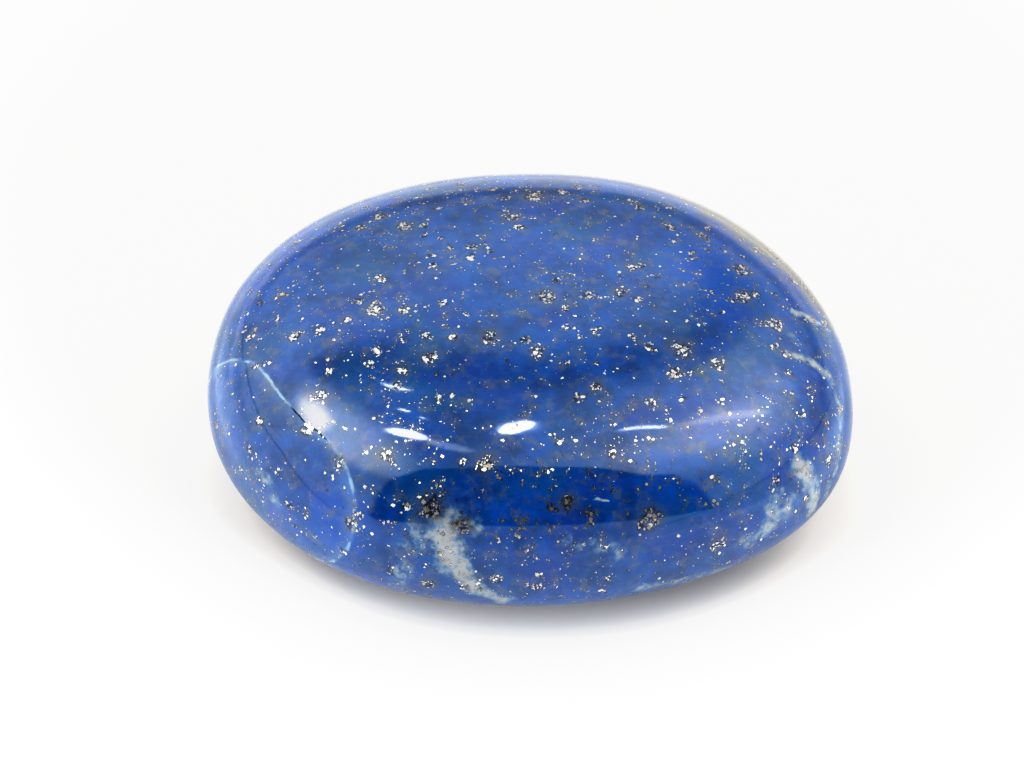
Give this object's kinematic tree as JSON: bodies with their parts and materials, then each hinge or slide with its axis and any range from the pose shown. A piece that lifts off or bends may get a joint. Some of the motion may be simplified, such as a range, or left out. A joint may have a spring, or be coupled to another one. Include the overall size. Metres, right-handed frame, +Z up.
{
  "type": "polished lapis lazuli palm stone",
  "caption": "Plump oval pebble of polished lapis lazuli, with a gently domed crown, rounded sides and a small flat spot underneath to rest on.",
  "frame": {"origin": "on the surface that the stone rests on, below the middle of its plan", "axes": "+X along the stone's length, +Y across its width, +Z up through its crown"},
  "size_m": [0.065, 0.055, 0.0231],
  "materials": {
    "polished_lapis": "polished ultramarine lapis lazuli with pyrite flecks, white calcite patches and one healed fracture"
  },
  "bodies": {
    "root": {"palm_stone": "polished_lapis"}
  },
  "joints": []
}
